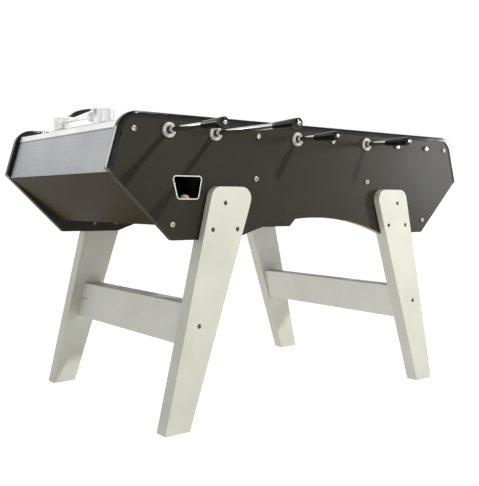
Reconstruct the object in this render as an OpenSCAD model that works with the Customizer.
// Table football game: a cabinet on four splayed plank legs, with eight telescopic player rods.
// +X runs along the table, +Y across it and +Z up. The origin is on the floor, under the centre.
// The table is the same after half a turn about Z, so one half is designed and the other is a turned copy.

/* [Cabinet] */
// Distance between neighbouring player rods
rod_pitch = 160; // [160:1:166]
// Height of the rod axes above the floor
rod_h = 854; // [850:1:858]
// Width of the playing field between the inner side boards
field_w = 650; // [640:1:660]
// Thickness of the outer side panels
panel_t = 22; // [20:1:24]
// Thickness of the inner side boards, which carry the bearings with the outer panels
liner_t = 28; // [24:1:30]
// Top of the side boards, under the edge moulding
board_top = 886; // [884:1:890]
// Height of the edge moulding over the boards
mould_h = 14; // [12:1:16]
// Radius of the upper corners of the side boards
corner_r = 50; // [40:1:60]

/* [Legs] */
// Thickness of a leg plank below the cabinet
leg_t = 47; // [45:1:50]
// Height of a leg's top edge
leg_top = 700; // [690:1:705]
// Depth of a stretcher between two legs, along the table
stretcher_t = 64; // [58:1:66]

/* [Rods] */
// Outer diameter of the hollow player rods
rod_d = 16; // [16:0.5:17]
// Diameter of the inner shafts that the rods slide on
shaft_d = 12; // [11:0.5:12]
// Radial clearance of every running fit
run_fit = 0.05; // [0.03:0.01:0.08]
// Length of a handle
handle_l = 96; // [90:1:105]
// Smallest gap between a handle and the side panel
handle_gap = 20; // [16:1:25]

/* [Hidden] */
$fn = 64;
eps = 1;

// Rods from left to right: players on the rod, spacing between them, and how far the rod is
// pulled out from its middle position. Rods 5 to 8 are the turned copies of rods 4 to 1.
ROD_COUNT = 8;
PLAYERS = [1, 2, 3, 5];
SPACING = [0, 200, 185, 120];
SHIFT = [15, 57, -30, 18];
// Side that the handles of rods 1 to 4 are on: 1 is the front, -Y, and -1 is the back
SIDE = [1, 1, -1, 1];
function rod_x(k) = (k - (ROD_COUNT + 1) / 2) * rod_pitch;
function row(k) = k <= 4 ? k - 1 : ROD_COUNT - k;
function front(k) = k <= 4 ? SIDE[k - 1] == 1 : SIDE[ROD_COUNT - k] != 1;
FRONT_RODS = [for (k = [1:ROD_COUNT]) if (front(k)) k];
BACK_RODS = [for (k = [1:ROD_COUNT]) if (!front(k)) k];

ENDS = ["left", "right"];
SIDES = ["front", "back"];

// Side walls, measured outwards from the table's centre plane
liner_in = field_w / 2;
panel_in = liner_in + liner_t;
panel_out = panel_in + panel_t;

// Side outline: widest at the waist, sloping in to the top and under to the bottom
waist_x = 738.7;
waist_z = 733.5;
slope = 0.286;
top_x = waist_x - slope * (board_top - waist_z);
base_x = 545;
base_z = 546;
arch_x = 320;
arch_rise = 59;
arch_r = (pow(arch_x, 2) + pow(arch_rise, 2)) / (2 * arch_rise);

// End boards
end_t = 20;
end_back = end_t * sqrt(1 + pow(slope, 2));
ledge_z = 857;
ledge_t = 18;
ledge_in = 645;
floor_z = 606;
floor_t = 12;
under_t = 16;
under_x = 557;
under_z = 588;

// Playfield and goals
field_z = 770;
field_t = 12;
goal_x = 657;
goal_t = 22;
goal_w = 200;
goal_h = 68;
goal_drop = 24;

// Leg outline: outer and inner edges lean outwards, the plank is widest at its top
leg_out_x = 586.5;
leg_out_slope = 0.2334;
leg_in_x = 503;
leg_in_slope = 0.3325;
leg_corner_r = 34;
stretch_x = 413;
stretch_z = 238;
stretch_h = 116;
stretch_lean = 0.25;

// Bolt positions, along the table and up, and their sizes
LEG_BOLTS = [[380, 652], [424.5, 575], [335.5, 575]];
STRETCH_BOLT = [472, 300];
PANEL_BOLTS = [[671, 852], [247, 725], [548, 591]];
bolt_r = 4;
leg_head_r = 6.5;
leg_head_sink = 8;
panel_head_r = 8.2;
nut_across = 15;
nut_h = 7;

// Bearings
bearing_r = 14;
flange_r = 21.75;
flange_t = 8;
nose_r = 10.5;
nose_out = 12;
collar_r = 18;
collar_t = 3;
bush_r = 10;
shaft_head_r = 8;
cap_r = 6;

// Rod layout, measured from the table's centre along the rod towards its handle
stop_gap = 8;
buffer_r = 14;
buffer_l = 16;
buffer_off = 14;
goalie_stop = 185;
engage = 80;

// Ball return and window
ball_d = 35;
window_top = [-550, -444, 730];
window_bottom = [-531, -458, 661];
window_r = 11;
frame_w = 4;
trough_out = 552;
trough_in = 440;
trough_back = 115;
trough_low = 640;
trough_high = 660;
ball_gap = 0.3;

// Score unit on each end ledge
cup_r = 25;
cup_t = 1.6;
cup_h = 40;
CUPS = [82, -216];
POSTS = [45, -150];
unit_x = 671;
unit_z = ledge_z + ledge_t;
rail_z = unit_z + 28;
rail_r = 3;
marker_r = 14;
marker_y = -131;
hood_r = 620;
hood_t = 2;
hood_w = 36;
hood_y = -98;
hood_half = 112;
hood_top = 928;

// Geometry helpers
function unit(v) = v / norm(v);
// Points of an arc of radius r that rounds corner b between a and c
function corner(a, b, c, r, steps) =
    r == 0 ? [b] :
    let (
        u = unit(a - b),
        w = unit(c - b),
        half = acos(u * w) / 2,
        centre = b + unit(u + w) * r / sin(half),
        p0 = b + u * r / tan(half) - centre,
        p1 = b + w * r / tan(half) - centre,
        a0 = atan2(p0[1], p0[0]),
        turn = atan2(p0[0] * p1[1] - p0[1] * p1[0], p0 * p1)
    )
    [for (i = [0:steps]) centre + r * [cos(a0 + turn * i / steps), sin(a0 + turn * i / steps)]];
// Outline with each corner rounded by its own radius
function rounded(pts, radii, steps = 10) =
    let (n = len(pts))
    [for (i = [0:n - 1]) each corner(pts[(i + n - 1) % n], pts[i], pts[(i + 1) % n], radii[i], steps)];
function mirrored(pts) = concat(pts, [for (i = [len(pts) - 1:-1:0]) [-pts[i][0], pts[i][1]]]);

// A slab whose outline is drawn along X and Z, between two distances in front of the centre plane
module slab(from, to) {
    rotate([90, 0, 0]) translate([0, 0, from]) linear_extrude(to - from) children();
}
// A cylinder along Y, between two distances in front of the centre plane
module rod_along(x, z, r, from, to, sides = $fn) {
    translate([x, 0, z]) rotate([90, 0, 0]) translate([0, 0, from])
        cylinder(h = to - from, r = r, $fn = sides);
}
module half_turn(on = true) {
    rotate([0, 0, on ? 180 : 0]) children();
}
module both_ends() {
    children();
    half_turn() children();
}
module in_place(k) {
    half_turn(!front(k)) translate([(front(k) ? 1 : -1) * rod_x(k), 0, rod_h]) children();
}

// Side walls
module side_outline() {
    waist = [waist_x, waist_z];
    top = corner(waist, [top_x, board_top], [0, board_top], corner_r, 12);
    polygon(mirrored(concat([[base_x, base_z], waist], top)));
}
// The inner boards stop at the end panels
module liner_outline() {
    waist = [waist_x - end_back, waist_z];
    top = corner(waist, [top_x - end_back, board_top], [0, board_top], corner_r, 12);
    polygon(mirrored(concat([waist], top)));
}
module wall_holes(from, to) {
    for (k = FRONT_RODS) rod_along(rod_x(k), rod_h, bearing_r, from, to);
    for (k = BACK_RODS) rod_along(rod_x(k), rod_h, bush_r, from, to);
}
module bolt_holes(from, to, places) {
    for (p = places) for (m = [-1, 1]) rod_along(m * p[0], p[1], bolt_r, from, to);
}
module window_outline() {
    polygon(rounded([
        [window_top[0], window_top[2]], [window_top[1], window_top[2]],
        [window_bottom[1], window_bottom[2]], [window_bottom[0], window_bottom[2]]
    ], [window_r, window_r, window_r, window_r], 6));
}
module side_panel() {
    color("dimgray") difference() {
        slab(panel_in, panel_out) difference() {
            side_outline();
            translate([0, base_z + arch_rise - arch_r]) circle(arch_r, $fn = 180);
            window_outline();
        }
        wall_holes(panel_in - eps, panel_out + eps);
        bolt_holes(panel_in - eps, panel_out + eps, concat(LEG_BOLTS, PANEL_BOLTS));
    }
}
module liner_board() {
    color("gray") difference() {
        slab(liner_in, panel_in) liner_outline();
        wall_holes(liner_in - eps, panel_in + eps);
        bolt_holes(liner_in - eps, panel_in + eps, [PANEL_BOLTS[0]]);
    }
}

// Edge moulding: one rounded strip that caps the outer board along the slopes, corners and top, with
// a lip over the outer face
module mould_profile() {
    half = panel_t / 2;
    lip = 1.5;
    polygon(concat(
        rounded([[-half - lip, -3], [-half - lip, mould_h], [half, mould_h], [half, 0]], [0, 8, 8, 0], 8),
        [[-half, 0], [-half, -3]]
    ));
}
module mould_bar(length) {
    rotate([0, 90, 0]) linear_extrude(length) mould_profile();
}
module mould_half() {
    lean = atan(slope);
    reach = corner_r * tan((90 - lean) / 2);
    centre = [top_x - reach, board_top - corner_r];
    slope_l = (board_top - waist_z) / cos(lean) - reach;
    translate([-eps / 100, board_top, 0]) mould_bar(centre[0] + eps / 100);
    translate(centre) rotate(lean) rotate_extrude(angle = 90 - lean) translate([corner_r, 0])
        rotate(-90) mould_profile();
    intersection() {
        translate(centre) rotate(lean) translate([corner_r, 0, 0]) rotate(-90)
            mould_bar(slope_l + 2 * mould_h);
        linear_extrude(4 * panel_t, center = true)
            polygon([
                [waist_x - corner_r, waist_z - corner_r], [waist_x + corner_r, waist_z + corner_r],
                [waist_x + corner_r, board_top], [top_x - corner_r, board_top]
            ]);
    }
}
module edge_moulding() {
    color("black") rotate([90, 0, 0]) translate([0, 0, (panel_in + panel_out) / 2]) {
        mould_half();
        mirror([1, 0, 0]) mould_half();
    }
}

// End boards, drawn for the right end
module end_panel() {
    ledge_x = waist_x - slope * (ledge_z - waist_z);
    color("silver") slab(-panel_in, panel_in) polygon([
        [waist_x, waist_z], [ledge_x, ledge_z], [ledge_x - end_back, ledge_z], [waist_x - end_back, waist_z]
    ]);
}
module lower_end_panel() {
    run = [waist_x - under_x, waist_z - under_z];
    rise = run[1] / run[0];
    shift_x = under_t * norm(run) / run[1];
    color("darkolivegreen") difference() {
        slab(-panel_in, panel_in) polygon([
            [waist_x, waist_z], [under_x, under_z], [under_x - shift_x, under_z], [waist_x - shift_x, waist_z]
        ]);
        for (m = [-1, 1]) rod_along(PANEL_BOLTS[2][0], PANEL_BOLTS[2][1], bolt_r, m * 340 - 15, m * 340 + 15);
    }
}
module end_ledge() {
    low_x = waist_x - slope * (ledge_z - waist_z);
    high_x = low_x - slope * ledge_t;
    color("lightgray") {
        slab(-liner_in, liner_in) polygon([
            [ledge_in, ledge_z], [low_x, ledge_z], [high_x, ledge_z + ledge_t], [ledge_in, ledge_z + ledge_t]
        ]);
        // The front of the ledge runs on past the ends of the inner boards
        slab(-panel_in, panel_in) polygon([
            [low_x - end_back, ledge_z], [low_x, ledge_z],
            [high_x, ledge_z + ledge_t], [high_x - end_back, ledge_z + ledge_t]
        ]);
    }
}
module goal_wall() {
    color("darkgreen") difference() {
        translate([goal_x, -liner_in, field_z - goal_drop])
            cube([goal_t, field_w, ledge_z - field_z + goal_drop]);
        translate([goal_x - eps, -goal_w / 2, field_z - goal_drop - eps])
            cube([goal_t + 2 * eps, goal_w, goal_h + goal_drop + eps]);
        for (m = [-1, 1]) rod_along(PANEL_BOLTS[0][0], PANEL_BOLTS[0][1], bolt_r, m * 310 - 16, m * 310 + 16);
    }
}

// Boards inside the cabinet
module playfield() {
    color("forestgreen") translate([-goal_x, -liner_in, field_z - field_t])
        cube([2 * goal_x, field_w, field_t]);
}
module cabinet_floor() {
    reach = 553;
    color("saddlebrown") translate([-reach, -panel_in, floor_z]) cube([2 * reach, 2 * panel_in, floor_t]);
}
module cross_beam() {
    beam_w = 40;
    beam_z = 702;
    color("burlywood") difference() {
        union() {
            translate([PANEL_BOLTS[1][0] - beam_w / 2, -panel_in, beam_z])
                cube([beam_w, 2 * panel_in, waist_z - beam_z]);
            translate([PANEL_BOLTS[1][0] - beam_w / 2, -liner_in, waist_z - eps])
                cube([beam_w, field_w, field_z - field_t - waist_z + eps]);
        }
        for (m = [-1, 1]) rod_along(PANEL_BOLTS[1][0], PANEL_BOLTS[1][1], bolt_r, m * 340 - 15, m * 340 + 15);
    }
}

// Ball return for the left goal: a ramp, then a trough that falls towards the window
module ball_chute() {
    wall = 4;
    board = 8;
    wall_top = 730;
    wall_low = 628;
    ramp_end = trough_high + 2;
    color("tan") {
        // Ramp under the goal
        slab(-trough_back, trough_back)
            polygon([[-668, 698], [-668, 708], [-trough_out, ramp_end + 10], [-trough_out, ramp_end]]);
        // Cheeks beside the ramp
        for (y = [-trough_back - wall, trough_back])
            translate([0, y + wall, 0]) rotate([90, 0, 0]) linear_extrude(wall)
                polygon([[-668, 698], [-668, wall_top], [-trough_out, wall_top], [-trough_out, ramp_end]]);
        // Trough floor
        rotate([90, 0, -90]) translate([0, 0, trough_in]) linear_extrude(trough_out - trough_in) polygon([
            [panel_in, trough_low], [-trough_back, trough_high],
            [-trough_back, trough_high - board], [panel_in, trough_low - board]
        ]);
        // Trough walls
        translate([-trough_in, -panel_in, wall_low])
            cube([wall, panel_in + trough_back + wall, wall_top - wall_low]);
        translate([-trough_out - wall, -panel_in, wall_low])
            cube([wall, panel_in - trough_back, wall_top - wall_low]);
        translate([-trough_out, trough_back, wall_low])
            cube([trough_out - trough_in, wall, wall_top - wall_low]);
    }
}
module window_frame() {
    lining = 20;
    color("silver") slab(panel_out - lining, panel_out + 1.5) difference() {
        window_outline();
        offset(delta = -frame_w) window_outline();
    }
}
module ball() {
    from_panel = ball_d / 2 + 1;
    rise = (trough_high - trough_low) / (panel_in + trough_back);
    ball_z = trough_low + rise * from_panel + ball_d / 2 + ball_gap;
    color("tan") translate([-480, -panel_in + from_panel, ball_z]) sphere(d = ball_d);
}

// Legs and stretchers, drawn for the front right leg
module leg() {
    top_out = leg_out_x - leg_out_slope * leg_top;
    top_in = leg_in_x - leg_in_slope * leg_top;
    outer = panel_in + leg_t;
    color("ivory") difference() {
        slab(panel_in, outer) polygon(rounded(
            [[leg_in_x, 0], [leg_out_x, 0], [top_out, leg_top], [top_in, leg_top]],
            [0, 0, leg_corner_r, leg_corner_r]));
        slab(panel_in - eps, panel_out) difference() {
            side_outline();
            translate([0, base_z + arch_rise - arch_r]) circle(arch_r, $fn = 180);
        }
        for (p = concat(LEG_BOLTS, [STRETCH_BOLT])) {
            rod_along(p[0], p[1], bolt_r, panel_in - eps, outer + eps);
            rod_along(p[0], p[1], leg_head_r + 0.5, outer - leg_head_sink, outer + eps);
        }
    }
}
module stretcher() {
    lean = stretch_lean * stretch_h;
    color("whitesmoke") difference() {
        slab(-panel_in, panel_in) polygon([
            [stretch_x + lean / 2, stretch_z],
            [stretch_x + stretcher_t + lean / 2, stretch_z],
            [stretch_x + stretcher_t - lean / 2, stretch_z + stretch_h],
            [stretch_x - lean / 2, stretch_z + stretch_h]
        ]);
        for (m = [-1, 1]) rod_along(STRETCH_BOLT[0], STRETCH_BOLT[1], bolt_r, m * 330 - 25, m * 330 + 25);
    }
}

// Fasteners
module socket_bolt(p, head_from, head_l, tip, head_r) {
    difference() {
        union() {
            rod_along(p[0], p[1], bolt_r, tip, head_from + eps);
            rod_along(p[0], p[1], head_r, head_from, head_from + head_l);
        }
        rod_along(p[0], p[1], 3.5, head_from + head_l - 4, head_from + head_l + eps, 6);
    }
}
module leg_bolts() {
    outer = panel_in + leg_t;
    color("darkslategray") both_ends() for (m = [-1, 1]) {
        for (p = LEG_BOLTS) {
            socket_bolt([m * p[0], p[1]], outer - leg_head_sink, 5, panel_in - nut_h - 3, leg_head_r);
            difference() {
                rod_along(m * p[0], p[1], nut_across / 2, panel_in - nut_h, panel_in, 6);
                rod_along(m * p[0], p[1], bolt_r, panel_in - nut_h - eps, panel_in + eps);
            }
        }
        socket_bolt([m * STRETCH_BOLT[0], STRETCH_BOLT[1]], outer - leg_head_sink, 5, panel_in - 48, leg_head_r);
    }
}
module panel_bolts() {
    color("silver") both_ends() for (m = [-1, 1]) for (p = PANEL_BOLTS) {
        tip = p[1] > ledge_z - 10 ? liner_in - 30 : panel_in - 27;
        socket_bolt([m * p[0], p[1]], panel_out, 5, tip, panel_head_r);
    }
}

// Bearings: a flanged one for each sliding rod, and a plain bush for each inner shaft
module rod_bearing(x) {
    difference() {
        union() {
            rod_along(x, rod_h, bearing_r, liner_in, panel_out);
            rod_along(x, rod_h, flange_r, panel_out, panel_out + flange_t);
            rod_along(x, rod_h, nose_r, panel_out + flange_t - eps, panel_out + nose_out);
            rod_along(x, rod_h, collar_r, liner_in - collar_t, liner_in);
        }
        rod_along(x, rod_h, rod_d / 2 + run_fit, liner_in - collar_t - eps, panel_out + nose_out + eps);
    }
}
module shaft_bush(x) {
    difference() {
        rod_along(x, rod_h, bush_r, liner_in, panel_out);
        rod_along(x, rod_h, shaft_d / 2 + run_fit, liner_in - eps, panel_out + eps);
    }
}
module rod_bearings() {
    color("silver") both_ends() {
        for (k = FRONT_RODS) rod_bearing(rod_x(k));
        for (k = BACK_RODS) shaft_bush(rod_x(k));
    }
}

// Player rods. Each is drawn with its handle at the front, along -Y, on an axis through the origin.
function half_span(i) = i == 0 ? goalie_stop : SPACING[i] * (PLAYERS[i] - 1) / 2 + buffer_off + buffer_l;
function half_travel(i) = liner_in - stop_gap - half_span(i);
function grip_from(i) = panel_out + handle_gap + half_travel(i) + SHIFT[i];
module turned(r, from, to) {
    rod_along(0, 0, r, from, to);
}
module inner_shaft(i) {
    head_l = 8;
    play = 0.5;
    tip = -half_span(i) + half_travel(i) + engage;
    color("silver") {
        turned(shaft_d / 2, -panel_out - play - eps, tip);
        difference() {
            turned(shaft_head_r, -panel_out - play - head_l, -panel_out - play);
            rod_along(0, 0, 3.5, -panel_out - play - head_l - eps, -panel_out - play - head_l + 4, 6);
        }
        turned(shaft_head_r + 1, -liner_in + play, -liner_in + play + 3.5);
    }
}
module rod(i) {
    seat = handle_l - 10;
    color("silver") {
        difference() {
            turned(rod_d / 2, -half_span(i) + SHIFT[i], grip_from(i) + seat);
            turned(shaft_d / 2 + run_fit, -half_span(i) + SHIFT[i] - eps, grip_from(i) + seat - 5);
        }
        turned(cap_r, grip_from(i) + handle_l - 3, grip_from(i) + handle_l + 1);
    }
}
module handle(i) {
    seat = handle_l - 10;
    color("black") rotate([90, 0, 0]) translate([0, 0, grip_from(i)]) difference() {
        rotate_extrude() polygon(rounded(
            [[0, 0], [10.2, 0], [11.4, 28], [14, seat - 8], [14.2, handle_l], [0, handle_l]],
            [0, 3, 30, 40, 3, 0], 6));
        translate([0, 0, -eps]) cylinder(h = seat + eps, r = rod_d / 2);
        translate([0, 0, handle_l - 3]) cylinder(h = 3 + eps, r = cap_r);
    }
}
module buffer_ring(from, to) {
    difference() {
        turned(buffer_r, from, to);
        turned(rod_d / 2, from - eps, to + eps);
    }
}
module player(y) {
    body_w = 26;
    translate([0, -y, 0]) difference() {
        union() {
            turned(12.5, -body_w / 2, body_w / 2);
            translate([-8, -body_w / 2, -20]) cube([16, body_w, 42]);
            translate([0, 0, 32]) sphere(r = 10.5);
            translate([-6, -9, -64]) cube([12, 18, 45]);
            translate([-9, -9, -77]) cube([18, 18, 14]);
        }
        turned(rod_d / 2, -body_w, body_w);
    }
}
module players(i) {
    n = PLAYERS[i];
    color("firebrick") for (j = [0:n - 1]) player(SHIFT[i] + (j - (n - 1) / 2) * SPACING[i]);
    color("dimgray") for (m = [-1, 1]) {
        outer = m * half_span(i) + SHIFT[i];
        buffer_ring(min(outer, outer - m * buffer_l), max(outer, outer - m * buffer_l));
    }
}

// Score unit on the left ledge: two cups, a rail with a sliding marker, and a curved cover
module tilt_x(y, z) {
    translate([-unit_x, y, z]) children();
}
module hood_shell(r) {
    tilt_x(hood_y, hood_top - hood_r) rotate([0, 90, 0])
        cylinder(h = hood_w, r = r, center = true, $fn = 180);
}
module score_unit() {
    base_t = 3;
    color("silver") {
        tilt_x(0, 0) translate([-23, -245, unit_z]) cube([46, 355, base_t]);
        for (y = CUPS) difference() {
            tilt_x(y, unit_z + base_t) cylinder(h = cup_h, r = cup_r);
            tilt_x(y, unit_z + base_t + cup_t) cylinder(h = cup_h, r = cup_r - cup_t);
        }
        for (y = POSTS) intersection() {
            tilt_x(y, unit_z + base_t) translate([-6, -3, 0]) cube([12, 6, 60]);
            hood_shell(hood_r - hood_t);
        }
        translate([-unit_x, max(POSTS), rail_z]) rotate([90, 0, 0])
            cylinder(h = max(POSTS) - min(POSTS), r = rail_r);
        difference() {
            intersection() {
                hood_shell(hood_r);
                tilt_x(hood_y, 0) translate([-hood_w, -hood_half, 0]) cube([2 * hood_w, 2 * hood_half, 1000]);
            }
            hood_shell(hood_r - hood_t);
        }
    }
}
module score_marker() {
    color("white") difference() {
        tilt_x(marker_y, rail_z) sphere(r = marker_r);
        translate([-unit_x, marker_y, rail_z]) rotate([90, 0, 0])
            cylinder(h = 4 * marker_r, r = rail_r + run_fit, center = true);
    }
}

// One line for each node
for (s = SIDES) {
    half_turn(s == "back") side_panel();
    half_turn(s == "back") liner_board();
    half_turn(s == "back") edge_moulding();
    for (e = ENDS)
        half_turn(s == "back") mirror([(s == "front") == (e == "left") ? 1 : 0, 0, 0]) leg();
}
for (e = ENDS) {
    half_turn(e == "left") end_panel();
    half_turn(e == "right") score_marker();
}
both_ends() lower_end_panel();  // lower_end_panels
both_ends() end_ledge();  // end_ledges
playfield();
both_ends() goal_wall();  // goal_walls
cabinet_floor();
both_ends() cross_beam();  // cross_beams
both_ends() ball_chute();  // ball_chutes
both_ends() window_frame();  // window_frames
both_ends() ball();  // balls
both_ends() stretcher();  // stretchers
leg_bolts();
panel_bolts();
rod_bearings();
both_ends() score_unit();  // score_units
for (k = [1:ROD_COUNT]) {
    in_place(k) inner_shaft(row(k));
    in_place(k) rod(row(k));
    in_place(k) handle(row(k));
    in_place(k) players(row(k));
}
